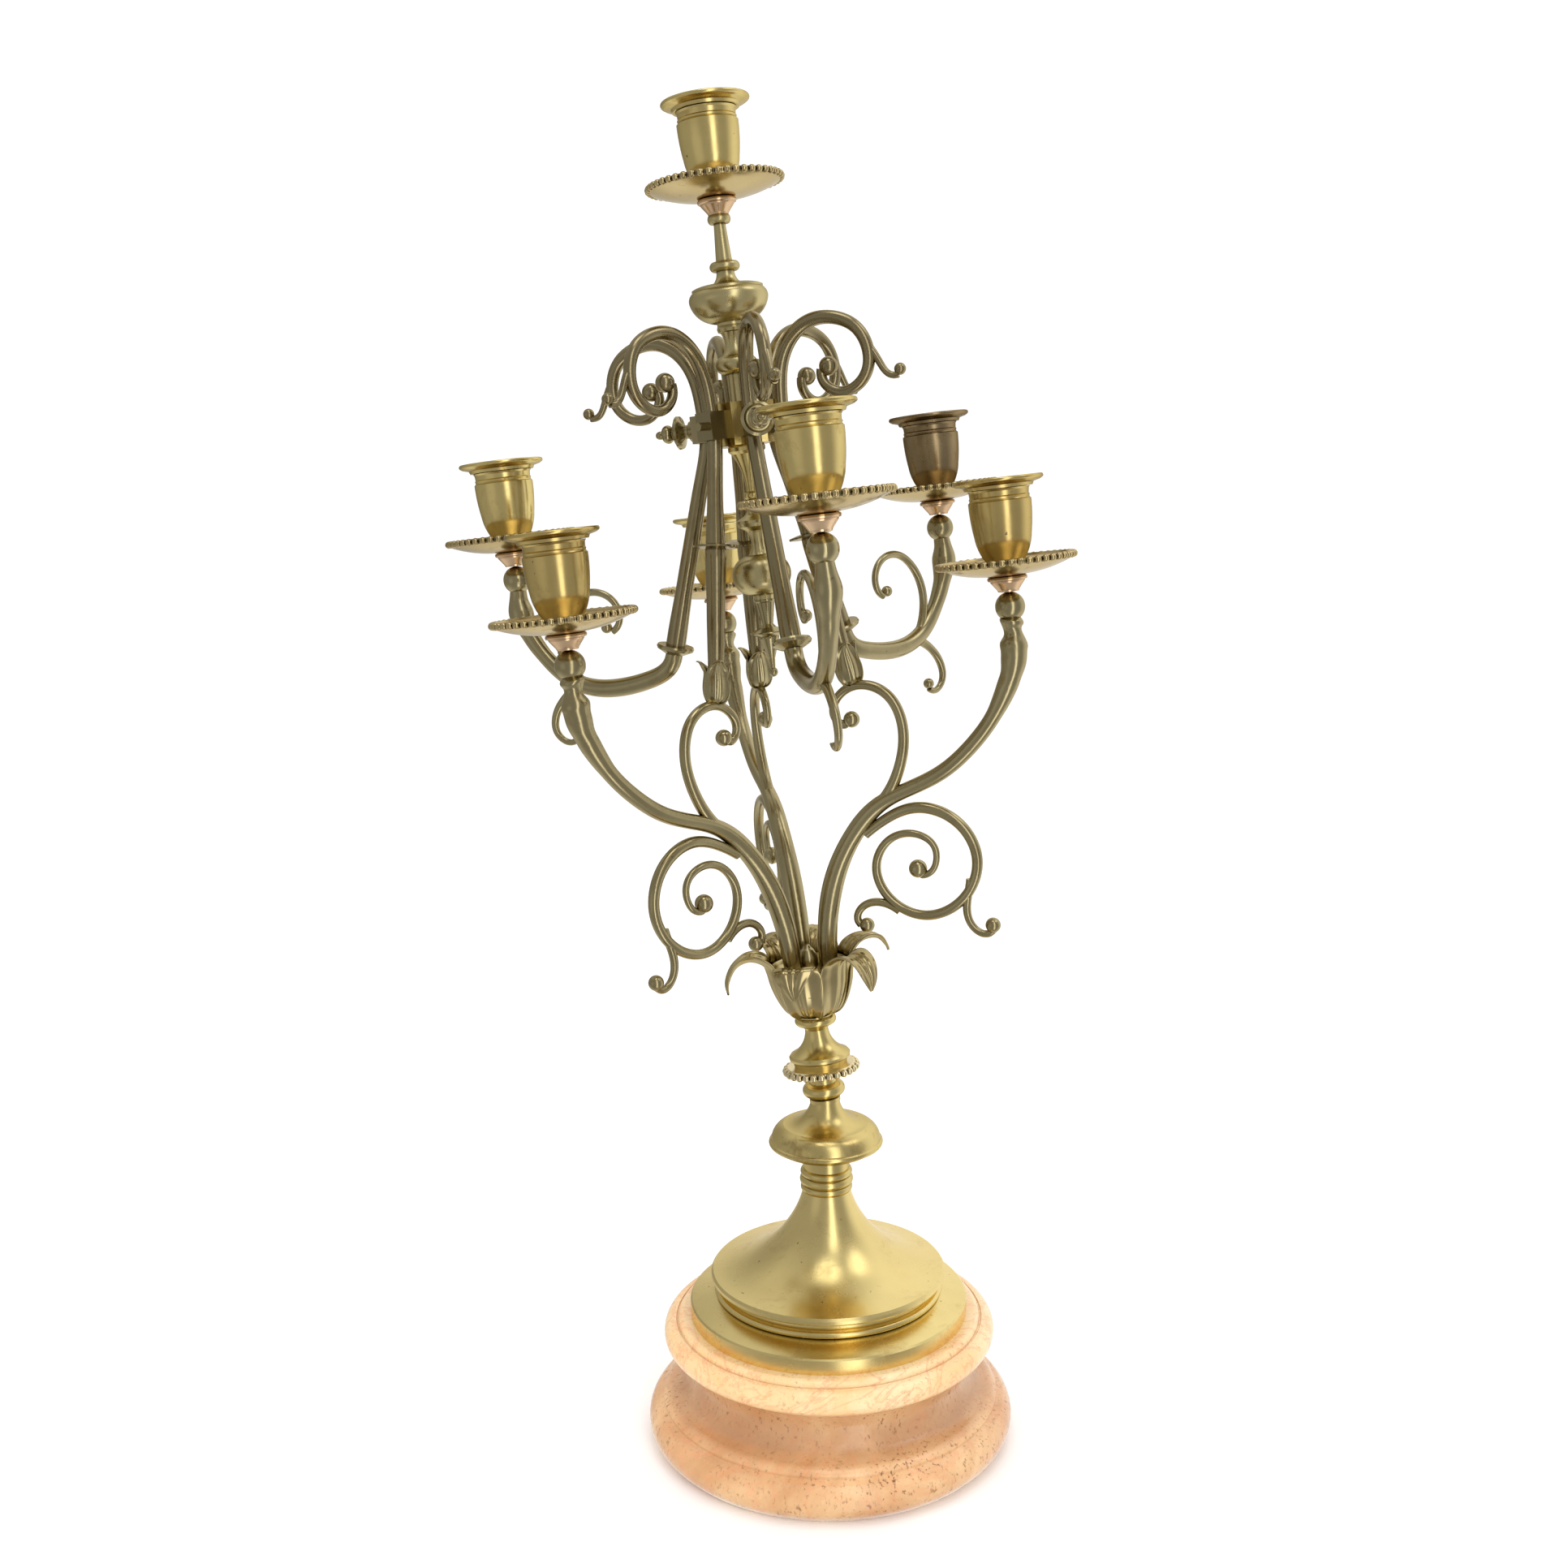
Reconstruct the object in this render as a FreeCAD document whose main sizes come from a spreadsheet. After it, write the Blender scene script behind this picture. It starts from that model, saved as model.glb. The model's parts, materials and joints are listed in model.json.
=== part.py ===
"""A seven-light brass candelabrum on a turned marble base.

Millimetres, +Z up. The origin is the centre of the marble's underside.
Three lower branches rise from a leaf cup, three upper arms hang from rods that a
hexagonal hub holds, and one light stands on the centre column. The tie rod is bent just
above the knop, so everything from there up leans, as one, towards the third upper arm.
"""
import FreeCAD, Part
import math
import os

import Sketcher
from FreeCAD import Placement, Rotation, Vector

doc = FreeCAD.newDocument("candelabrum")

# ---------------------------------------------------------------- driving dimensions
DIMENSIONS = {
    # the lean of everything above the knop, in degrees, and its bearing
    "lean": 6,
    "lean_bearing": 150,
    # marble base
    "marble_foot_wide": 188,
    "marble_foot_tall": 50,
    "marble_cap_wide": 170,
    "marble_cap_tall": 15.6,
    # brass foot
    "plate_wide": 142,
    "plate_tall": 15.4,
    "dome_wide": 120,
    "dome_tall": 49.1,
    "neck_wide": 27,
    "neck_tall": 18.9,
    "knop_wide": 58,
    "knop_tall": 28.5,
    "stem_ring_wide": 21.6,
    "stem_ring_tall": 15.5,
    "flange_wide": 35.6,
    "flange_tall": 4,
    "flange_bead": 3.9,
    "flange_beads": 28,
    "flare_wide": 31,
    "flare_tall": 26,
    "leaf_cup_tall": 30,
    "tie_rod_wide": 6,
    "tie_rod_foot": 6,
    "bud_wide": 10,
    "bud_tall": 14,
    # hub and centre column
    "hub_base": 506,
    "hub_flats": 28,
    "hub_tall": 20,
    "block_wide": 11,
    "block_tall": 13,
    "stud_wide": 4,
    "shaft_wide": 20.4,
    "shaft_tall": 37.5,
    "knob_wide": 37.6,
    "knob_tall": 17,
    "finial_wide": 18,
    "finial_tall": 32.5,
    "trumpet_wide": 18,
    "trumpet_tall": 26,
    "ball_piece_wide": 28.6,
    "ball_piece_tall": 48,
    "pendant_wide": 18,
    "pendant_tall": 38,
    # candle holders
    "lower_reach": 119,
    "upper_reach": 130,
    "lower_seat": 423.6,
    "upper_seat": 461.9,
    "seat_nut_tall": 7.4,
    "dish_wide": 62.8,
    "dish_tall": 8.4,
    "dish_bead": 3.5,
    "dish_beads": 48,
    "cup_wide": 29.2,
    "cup_tall": 36.3,
    "nozzle_wide": 42,
    "nozzle_tall": 23,
    "candle_hole": 22,
    # thumb nuts
    "thumb_nut_wide": 16,
    "thumb_nut_long": 20,
    # scrolls
    "scroll_ball": 9,
    "tendril_ball": 5.6,
    "branch_ball": 7.4,
    "arm_ball": 14,
}

sheet = doc.addObject("Spreadsheet::Sheet", "Sizes")
for row, (alias, value) in enumerate(DIMENSIONS.items(), start=1):
    sheet.set(f"A{row}", alias)
    sheet.set(f"B{row}", str(value))
    sheet.setAlias(f"B{row}", alias)
doc.recompute()


def size(alias):
    """The value in the sheet's cell."""
    return float(sheet.get(alias))


# Where the pieces of the stem stand, from the underside of the marble up.
STEM = [
    ("marble_foot", "marble_foot_tall"),
    ("marble_cap", "marble_cap_tall"),
    ("foot_plate", "plate_tall"),
    ("foot_dome", "dome_tall"),
    ("stem_neck", "neck_tall"),
    ("knop", "knop_tall"),
    ("stem_ring", "stem_ring_tall"),
    ("beaded_flange", "flange_tall"),
    ("stem_flare", "flare_tall"),
    ("leaf_cup", "leaf_cup_tall"),
]

UPPER_ANGLES = (-90, 30, 150)
LOWER_ANGLES = (90, -30, 210)

made = []


def keep(piece, label):
    """Names a finished piece, so that it is written out."""
    piece.Label = label
    made.append(piece)
    return piece


def stack_base(label):
    """The sheet expression for the height at which a stem piece stands."""
    below = []
    for name, tall in STEM:
        if name == label:
            break
        below.append(f"Sizes.{tall}")
    return " + ".join(below) if below else "0"


# ---------------------------------------------------------------- turned pieces
def via(radius, height):
    """A point that the outline passes through on an arc."""
    return ("via", radius, height)


def origin_part(body, role):
    """The plane or axis of a body's own origin with this role."""
    for feature in body.Origin.OriginFeatures:
        if feature.Role == role:
            return feature
    raise ValueError(role)


# The lean turns everything above the knop about the middle of the knop's top.
KNOP_TOP = stack_base("stem_ring")
LEAN_TOP = sum(size(tall) for name, tall in STEM[:STEM.index(("stem_ring", "stem_ring_tall"))])
LEAN_BEARING = math.radians(size("lean_bearing"))
LEAN_AXIS = Vector(-math.sin(LEAN_BEARING), math.cos(LEAN_BEARING), 0)
LEAN = Placement(Vector(), Rotation(LEAN_AXIS, size("lean")), Vector(0, 0, LEAN_TOP))


def place_by(piece, height, reach="0", angle=0, turn=Rotation()):
    """Binds the place of a piece that leans with the stem: its height along the stem, its reach
    from the stem's centre line and its bearing, all as they were before the lean."""
    lean = "(Sizes.lean * 1 deg)"
    bearing = "(Sizes.lean_bearing * 1 deg)"
    up = f"({height} - ({KNOP_TOP}))"
    ahead = f"(({reach}) * cos({angle} deg - {bearing}))"
    beside = f"(({reach}) * sin({angle} deg - {bearing}))"
    moved = f"({ahead} * cos({lean}) + {up} * sin({lean}))"
    piece.Placement = Placement(Vector(), LEAN.Rotation.multiply(turn))
    piece.setExpression("Placement.Base.x", f"{moved} * cos({bearing}) - {beside} * sin({bearing})")
    piece.setExpression("Placement.Base.y", f"{moved} * sin({bearing}) + {beside} * cos({bearing})")
    piece.setExpression("Placement.Base.z", f"{KNOP_TOP} + {up} * cos({lean}) - {ahead} * sin({lean})")


def turned(name, wide, tall, outline):
    """A body turned about Z. The outline is in millimetres at the sheet's own sizes, and
    every point keeps its share of the two driving dimensions."""
    body = doc.addObject("PartDesign::Body", name)
    sketch = body.newObject("Sketcher::SketchObject", name + "_outline")
    sketch.AttachmentSupport = [(origin_part(body, "XZ_Plane"), "")]
    sketch.MapMode = "FlatFace"
    full_wide = size(wide)
    full_tall = size(tall)

    def bind(geometry, corner, radius, height):
        spots = (("DistanceX", radius, wide, full_wide), ("DistanceY", height, tall, full_tall))
        for kind, amount, alias, full in spots:
            if abs(amount) < 1e-9:
                row = sketch.addConstraint(Sketcher.Constraint(
                    "PointOnObject", geometry, corner, -2 if kind == "DistanceX" else -1))
            else:
                row = sketch.addConstraint(Sketcher.Constraint(
                    kind, -1, 1, geometry, corner, amount))
                sketch.setExpression(f"Constraints[{row}]", f"Sizes.{alias} * {amount / full:.7f}")

    corners = [p for p in outline if p[0] != "via"]
    joints = []
    first = outline[0]
    previous = first
    middle = None
    for point in list(outline[1:]) + [first]:
        if point[0] == "via":
            middle = point
            continue
        start = Vector(previous[0], previous[1], 0)
        end = Vector(point[0], point[1], 0)
        if middle is None:
            segment = sketch.addGeometry(Part.LineSegment(start, end))
            joints.append((segment, 1, 2, previous))
        else:
            passing = Vector(middle[1], middle[2], 0)
            arc = Part.Arc(start, passing, end)
            segment = sketch.addGeometry(arc)
            turns_left = (passing - start).cross(end - passing).z > 0
            joints.append((segment, 1 if turns_left else 2, 2 if turns_left else 1, previous))
            dot = sketch.addGeometry(Part.Point(passing), True)
            sketch.addConstraint(Sketcher.Constraint("PointOnObject", dot, 1, segment))
            bind(dot, 1, middle[1], middle[2])
            middle = None
        previous = point
    for here, after in zip(joints, joints[1:] + joints[:1]):
        sketch.addConstraint(Sketcher.Constraint("Coincident", here[0], here[2], after[0], after[1]))
    for segment, begin, _end, corner in joints:
        bind(segment, begin, corner[0], corner[1])
    assert len(corners) == len(joints)
    doc.recompute([sketch])
    turn = body.newObject("PartDesign::Revolution", name + "_turn")
    turn.Profile = sketch
    turn.ReferenceAxis = (sketch, ["V_Axis"])
    turn.Angle = 360
    return body


def stem_piece(label, wide, tall, outline, leans=False):
    """A turned piece in its place on the tie rod."""
    body = turned(label, wide, tall, outline)
    if leans:
        place_by(body, stack_base(label))
    else:
        body.setExpression("Placement.Base.z", stack_base(label))
    return keep(body, label)


def bead_ring(body, name, bead, count, ring_wide, share, height):
    """A ring of round beads about a body's own axis."""
    one = body.newObject("PartDesign::AdditiveSphere", name + "_bead")
    one.AttachmentSupport = [(origin_part(body, "XY_Plane"), "")]
    one.MapMode = "FlatFace"
    one.setExpression("Radius", f"Sizes.{bead} / 2")
    one.setExpression("AttachmentOffset.Base.x", f"Sizes.{ring_wide} * {share:.6f}")
    one.AttachmentOffset = Placement(Vector(size(ring_wide) * share, 0, height), Rotation())
    ring = body.newObject("PartDesign::PolarPattern", name + "_beads")
    ring.Originals = [one]
    ring.Axis = (origin_part(body, "Z_Axis"), [""])
    ring.Angle = 360
    ring.setExpression("Occurrences", f"Sizes.{count}")
    body.Tip = ring


ROD = size("tie_rod_wide") / 2
SLOPE_REACH = 15


def marble_base():
    stem_piece("marble_foot", "marble_foot_wide", "marble_foot_tall", [
        (0, 0), (88, 0), (90.2, 2.2), via(94, 10.8), (89.8, 19.2),
        (86.4, 20.8), (86.4, 22), via(83.6, 24.4), (80.6, 25.2),
        via(70.8, 35), (76.5, 47.4), (76.5, 50), (ROD, 50), (ROD, size("tie_rod_foot")),
        (0, size("tie_rod_foot")),
    ])
    stem_piece("marble_cap", "marble_cap_wide", "marble_cap_tall", [
        (ROD, 0), (79, 0), via(85, 6.4), (80.6, 12.6), (78.8, 12.8), (78.4, 12.2),
        (77.8, 12.4), via(76.6, 14.8), (74, 15.6), (ROD, 15.6),
    ])


def brass_foot():
    stem_piece("foot_plate", "plate_wide", "plate_tall", [
        (ROD, 0), (71, 0), (71, 7.2), (70.2, 8), (57, 11.6),
        via(58.6, 13.4), (57, 15.1), (56, 15.4), (ROD, 15.4),
    ])
    stem_piece("foot_dome", "dome_wide", "dome_tall", [
        (ROD, 0), (55.4, 0), via(54.6, 1.6), (57, 3.4), (59.4, 3.9), (60, 4.8), (60, 6.4),
        (59, 7.6), via(29.5, 21.2), (12.2, 49.1), (ROD, 49.1),
    ])
    stem_piece("stem_neck", "neck_wide", "neck_tall", [
        (ROD, 0), (12.3, 0), via(13.2, 1.8), (12.4, 3.6), via(13.6, 5.9), (12.4, 8.2),
        via(13.2, 10), (12.4, 11.8), (11.7, 12.2), (11.7, 16.4),
        via(12, 17.8), (12.8, 18.9), (ROD, 18.9),
    ])
    knop_blank = turned("knop_blank", "knop_wide", "knop_tall", [
        (ROD, 0), (12.8, 0), via(21.8, 2.2), (27.2, 5.4), (27.8, 5.6), (28.4, 5.9),
        via(29, 7.1), (28.4, 8.3), (27.8, 8.6), via(26.2, 13.2), (21.5, 16.5),
        via(11.6, 20.6), (7.6, 27.2), (7.4, 28.5), (7.4, 29.5), (ROD, 29.5),
    ])
    knop_blank.setExpression("Placement.Base.z", stack_base("knop"))
    # The knop's top is cut to the slope of the piece that leans on it.
    slope = doc.addObject("Part::Box", "knop_slope")
    slope.Length = slope.Width = 2 * SLOPE_REACH
    slope.Placement = LEAN.multiply(Placement(Vector(-SLOPE_REACH, -SLOPE_REACH, LEAN_TOP), Rotation()))
    knop = doc.addObject("Part::Cut", "knop")
    knop.Base = knop_blank
    knop.Tool = slope
    keep(knop, "knop")
    stem_piece("stem_ring", "stem_ring_wide", "stem_ring_tall", [
        (ROD, 0), (7.8, 0), (7.8, 1.8), (7, 2.6), (8.4, 3), via(10.8, 6.2), (8.4, 9.6),
        (7, 10), (6.8, 15.5), (ROD, 15.5),
    ], leans=True)
    flange = stem_piece("beaded_flange", "flange_wide", "flange_tall", [
        (ROD, 0), (14.5, 0), (17.8, 1), (17.8, 3.4), (16.8, 4), (ROD, 4),
    ], leans=True)
    bead_ring(flange, "flange", "flange_bead", "flange_beads", "flange_wide", 0.5, 1.9)
    stem_piece("stem_flare", "flare_wide", "flare_tall", [
        (ROD, 0), (13.2, 0), (13.8, 2.8), (15.3, 3.8), (15.5, 5), (14.6, 6.2),
        via(8, 11.6), (5.9, 18.6), (7, 20.6), (8.4, 20.8), via(10.5, 23.2), (8.8, 25.4),
        (8.8, 26), (ROD, 26),
    ], leans=True)


# ---------------------------------------------------------------- tubes and scrolls
def spiral(centre, start_angle, quarter_radii):
    """Points along a scroll that winds clockwise, an eighth of a turn apart. The radii are
    those at every quarter turn."""
    points = []
    for eighth in range(2 * (len(quarter_radii) - 1) + 1):
        quarter, half = divmod(eighth, 2)
        radius = quarter_radii[quarter]
        if half:
            radius = (radius + quarter_radii[quarter + 1]) / 2
        angle = math.radians(start_angle - 45 * eighth)
        points.append((centre[0] + radius * math.cos(angle), centre[1] + radius * math.sin(angle)))
    return points


def eased(pairs, share):
    """The sizes at this share of a tube's length, from (share, size...) rows."""
    for low, high in zip(pairs, pairs[1:]):
        if share <= high[0] + 1e-9:
            part = (share - low[0]) / (high[0] - low[0])
            part = part * part * (3 - 2 * part)
            return [a + (b - a) * part for a, b in zip(low[1:], high[1:])]
    return list(pairs[-1][1:])


def tube(path, pairs, stations):
    """A solid along a curve in the XZ plane. The path is (radius, height) points. The pairs are
    (share of the length, radius) or (share of the length, half width, half thickness)."""
    curve = Part.BSplineCurve()
    curve.interpolate([Vector(x, 0, z) for x, z in path])
    edge = curve.toShape()
    sections = []
    for station in range(stations + 1):
        share = station / stations
        where = edge.getParameterByLength(share * edge.Length)
        along = curve.tangent(where)[0]
        sizes = eased(pairs, share)
        if len(sizes) == 1:
            ring = Part.Circle(Vector(), Vector(0, 0, 1), sizes[0])
        else:
            ring = Part.Ellipse(Vector(), sizes[0], sizes[1])
        side = Vector(0, 1, 0)
        wire = Part.Wire([ring.toShape()])
        wire.Placement = Placement(curve.value(where), Rotation(side, along.cross(side), along, "ZXY"))
        sections.append(wire)
    return Part.makeLoft(sections, True, False)


def ball(place, wide):
    """A ball in the XZ plane."""
    return Part.makeSphere(wide / 2, Vector(place[0], 0, place[1]))


def disc(place, along, outline):
    """A turned ring on a rod, from (radius, distance along the rod) points."""
    points = [Vector(r, 0, t) for r, t in outline]
    face = Part.Face(Part.makePolygon(points + points[:1]))
    solid = face.revolve(Vector(), Vector(0, 0, 1), 360)
    solid.Placement = Placement(Vector(place[0], 0, place[1]),
                                Rotation(Vector(0, 0, 1), Vector(along[0], 0, along[1])))
    return solid


def casting(label, shapes, angle):
    """Joins overlapping shapes into one casting, turned to its bearing and leaned."""
    solid = shapes[0].multiFuse(shapes[1:]) if len(shapes) > 1 else shapes[0]
    solid = solid.removeSplitter()
    assert len(solid.Solids) == 1, (label, len(solid.Solids))
    piece = doc.addObject("Part::Feature", label)
    piece.Shape = solid.Solids[0]
    piece.Placement = LEAN.multiply(Placement(Vector(), Rotation(Vector(0, 0, 1), angle)))
    return keep(piece, label)


# ---------------------------------------------------------------- leaf cup
def leaf(angle, path, pairs):
    """A bent petal that springs from the rim of a cup."""
    petal = tube(path, pairs, 12)
    petal.rotate(Vector(), Vector(0, 0, 1), angle)
    return petal


def leaf_cup():
    base = sum(size(tall) for name, tall in STEM if name != "leaf_cup")
    wall = [(ROD, 0), (9.4, 0), (12.2, 2.6), (15.2, 8), (18.6, 16.4), (21, 24), (21.9, 29.6),
            (20.4, 30), (18.8, 25.4), (16.6, 22), (ROD, 22)]
    cup = disc((0, 0), (0, 1), wall)
    shapes = [cup]
    curled = [(17.5, 17), (20.2, 25), (24.5, 31.4), (31.5, 34.6), (38, 31.6), (41.2, 24.6)]
    for petal in range(6):
        shapes.append(leaf(60 * petal, curled,
                           [(0, 7.5, 1.2), (0.35, 9, 1.2), (0.7, 6.6, 1), (1, 1, 0.5)]))
    casting("leaf_cup", shapes, 0).Placement = LEAN.multiply(Placement(Vector(0, 0, base), Rotation()))

    bud = turned("bud_nut", "bud_wide", "bud_tall", [
        (ROD, 0), (3.8, 0), (5, 3), via(4.8, 7.5), (3.3, 11.4), (2.2, 12.4), (1.6, 13.6),
        (0.6, 14), (0, 14), (0, 11), (ROD, 11),
    ])
    place_by(bud, stack_base("leaf_cup") + " + Sizes.leaf_cup_tall * 22 / 30")
    keep(bud, "bud_nut")


def tie_rod():
    """The draw rod through the stem, bent at the knop's top."""
    straight = doc.addObject("Part::Cylinder", "tie_rod_straight")
    straight.setExpression("Height", KNOP_TOP + " - Sizes.tie_rod_foot")
    straight.setExpression("Placement.Base.z", "Sizes.tie_rod_foot")
    leaning = doc.addObject("Part::Cylinder", "tie_rod_leaning")
    rod_top = stack_base("leaf_cup") + " + Sizes.leaf_cup_tall * 33 / 30"
    leaning.setExpression("Height", f"{rod_top} - ({KNOP_TOP})")
    place_by(leaning, KNOP_TOP)
    bend = doc.addObject("Part::Sphere", "tie_rod_bend")
    bend.setExpression("Placement.Base.z", KNOP_TOP)
    for shape in (straight, leaning, bend):
        shape.setExpression("Radius", "Sizes.tie_rod_wide / 2")
    rod = doc.addObject("Part::MultiFuse", "tie_rod")
    rod.Shapes = [straight, leaning, bend]
    keep(rod, "tie_rod")


# ---------------------------------------------------------------- lower branches
BALUSTER = [(0.76, 3.7), (0.86, 5), (0.93, 6.4), (0.98, 4.4), (1, 4)]


def lower_branch(number, angle):
    reach = size("lower_reach")
    top = size("lower_seat") - size("arm_ball")
    arm = tube([(10.4, 243), (11.2, 260), (14.8, 280), (21.5, 298), (32, 314.5), (46, 327.5),
                (61, 334), (78, 341), (93, 352), (105, 365), (113, 378), (117.6, 389),
                (reach, 400), (reach, top + 2)],
               [(0, 4.6), (0.2, 5.2), (0.36, 4.6), (0.5, 3.7)] + BALUSTER, 44)
    heart = tube([(40, 323), (51, 333), (58.5, 347), (61.5, 361), (60.5, 371), (56, 380),
                  (48, 385.4), (39, 386), (31.6, 382), (28, 375.4), (29.4, 369.6), (34, 368)],
                 [(0, 3), (0.5, 2.6), (1, 2)], 30)
    wind = spiral((62.5, 298), 90, (26.6, 28.5, 26.8, 21.6, 13.6, 8.4, 6.6))
    coil = tube([(37, 313), (47, 319.4)] + wind,
                [(0, 2.4), (0.15, 2.8), (0.6, 2.4), (1, 1.6)], 48)
    outer = tube([(86.6, 288), (84.4, 279), (83.4, 271.5), (85.6, 264.4), (91, 260.6), (95.6, 262.6)],
                 [(0, 2.1), (1, 1.8)], 16)
    inner = tube([(50, 273.8), (44.8, 277.4), (38.2, 279), (31.6, 277), (28.2, 272), (29.6, 267.8)],
                 [(0, 2.1), (1, 1.9)], 16)
    balls = [
        ball((reach, top + 7), size("arm_ball")),
        ball((36.6, 370), size("scroll_ball") - 1),
        ball((61.4, 294.6), size("scroll_ball")),
        ball((95.4, 264.8), size("branch_ball")),
        ball((32.6, 267.6), size("branch_ball")),
    ]
    casting(f"lower_branch_{number}", [arm, heart, coil, outer, inner] + balls, angle)


# ---------------------------------------------------------------- rods with top scrolls
def top_scroll():
    """The outward scroll above the hub, with its tendril."""
    scroll = tube([(19.5, 520), (20, 530), (22.6, 543), (28.4, 552.6), (38.4, 558.8), (50, 558.6),
                   (60, 552.8), (64.6, 543), (63.6, 533), (57.2, 526), (49, 524.6), (42.6, 529),
                   (41.4, 536)],
                  [(0, 3.6), (0.2, 3.6), (0.6, 3), (1, 2.4)], 40)
    tendril = tube([(63.2, 546), (66.4, 541.6), (69.6, 535.4), (73.6, 529.4), (78, 528.6)],
                   [(0, 1.9), (1, 1.6)], 14)
    return [scroll, tendril, ball((45, 537), size("scroll_ball")),
            ball((79, 531), size("tendril_ball"))]


def hub_block():
    """The square boss that a bolt holds to the hub, with the bolt's hole through it."""
    wide = size("block_wide")
    tall = size("block_tall")
    face = size("hub_flats") / 2
    middle = size("hub_base") + size("hub_tall") / 2
    return Part.makeBox(wide, wide, tall, Vector(face, -wide / 2, middle - tall / 2))


def bolted_rod(label, shapes, angle):
    """A rod with its top scroll, and the radial bolt hole through its block."""
    middle = size("hub_base") + size("hub_tall") / 2
    hole = Part.makeCylinder(size("stud_wide") / 2, 40, Vector(0, 0, middle), Vector(1, 0, 0))
    rod = shapes[0].multiFuse(shapes[1:] + [hub_block()] + top_scroll())
    casting(label, [rod.cut(hole)], angle)


def tulip_rod(number, angle):
    rod = tube([(38, 392), (32, 428), (26.8, 461), (21.4, 496), (19.5, 510), (19.5, 522)],
               [(0, 3.6), (0.3, 4.4), (0.52, 5.1), (0.55, 4.6), (0.7, 3.8), (1, 3.7)], 24)
    washer = disc((26.9, 460), (-0.15, 1), [
        (0, -1.8), (7, -1.2), (10.6, -0.5), (10.6, 0.5), (7, 1.2), (0, 1.8)])
    bolted_rod(f"tulip_rod_{number}", [rod, washer], angle)


def arm_rod(number, angle):
    rod = tube([(49, 414), (42, 437), (34.4, 461), (24.6, 492), (19.8, 508), (19.5, 522)],
               [(0, 4.9), (0.3, 4.2), (0.75, 3.7), (1, 3.7)], 24)
    bolted_rod(f"arm_rod_{number}", [rod], angle)


def upper_arm(number, angle):
    reach = size("upper_reach")
    top = size("upper_seat") - size("arm_ball")
    socket = disc((49, 414), (-0.3, 1), [(0, -6), (5.6, -4), (8.9, -2.2), (9.4, -1), (8.9, 0), (0, 0)])
    arm = tube([(50.4, 409.8), (54.6, 402.8), (66, 398), (81, 395.8), (96, 397), (108.4, 402.6),
                (118.4, 412.6), (126, 424.6), (reach, 436), (reach, top + 2)],
               [(0, 4.3), (0.3, 4.6), (0.68, 4), (0.78, 4.4), (0.9, 6.3), (0.98, 4.4), (1, 4)], 40)
    curl = tube([(97.6, 397), (105, 402), (110, 412), (111, 424), (106, 436), (96.4, 443.6),
                 (85, 443.4), (77.8, 436.4), (77.4, 428.6), (81.6, 424)],
                [(0, 2.6), (0.3, 2.1), (1, 1.7)], 30)
    tendril = tube([(98, 399), (106.6, 396.8), (114, 391.4), (119, 384), (119.4, 375.4),
                    (113.6, 370.2), (108.4, 371.6)],
                   [(0, 2.6), (0.4, 2.1), (1, 1.6)], 20)
    balls = [
        ball((reach, top + 7), size("arm_ball")),
        ball((84.6, 426.2), size("tendril_ball")),
        ball((108.4, 374.4), size("tendril_ball")),
    ]
    casting(f"upper_arm_{number}", [arm, socket, curl, tendril] + balls, angle)


def tulip(number, angle):
    """The three-petalled socket that a rod's foot stands in."""
    wall = [(0, 0), (2.4, 0), (4.6, 1.6), (6.1, 4.8), (6.5, 9), (6, 13), (5.9, 17), (4.9, 17),
            (4.6, 9), (4.4, 6.2), (0, 6.2)]
    shapes = [disc((0, 0), (0, 1), wall)]
    tip = [(5.1, 9), (5.4, 15), (6.4, 19), (8.6, 21), (10.4, 20.2)]
    for petal in range(3):
        shapes.append(leaf(120 * petal + 60, tip, [(0, 3.8, 0.7), (0.5, 3.9, 0.7), (1, 0.5, 0.4)]))
    piece = casting(f"tulip_{number}", shapes, 0)
    turn = Rotation(Vector(0, 0, 1), angle)
    tip_in = Rotation(Vector(0, 1, 0), -9.5)
    foot = turn.multVec(Vector(38.9, 0, 386.5))
    piece.Placement = LEAN.multiply(Placement(foot, turn.multiply(tip_in)))


# ---------------------------------------------------------------- hub and centre column
def hub():
    prism = doc.addObject("Part::Prism", "hub_prism")
    prism.Polygon = 6
    prism.setExpression("Circumradius", "Sizes.hub_flats / 2 / cos(30 deg)")
    prism.setExpression("Height", "Sizes.hub_tall")
    place_by(prism, "Sizes.hub_base")
    keep(prism, "hub")


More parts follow.
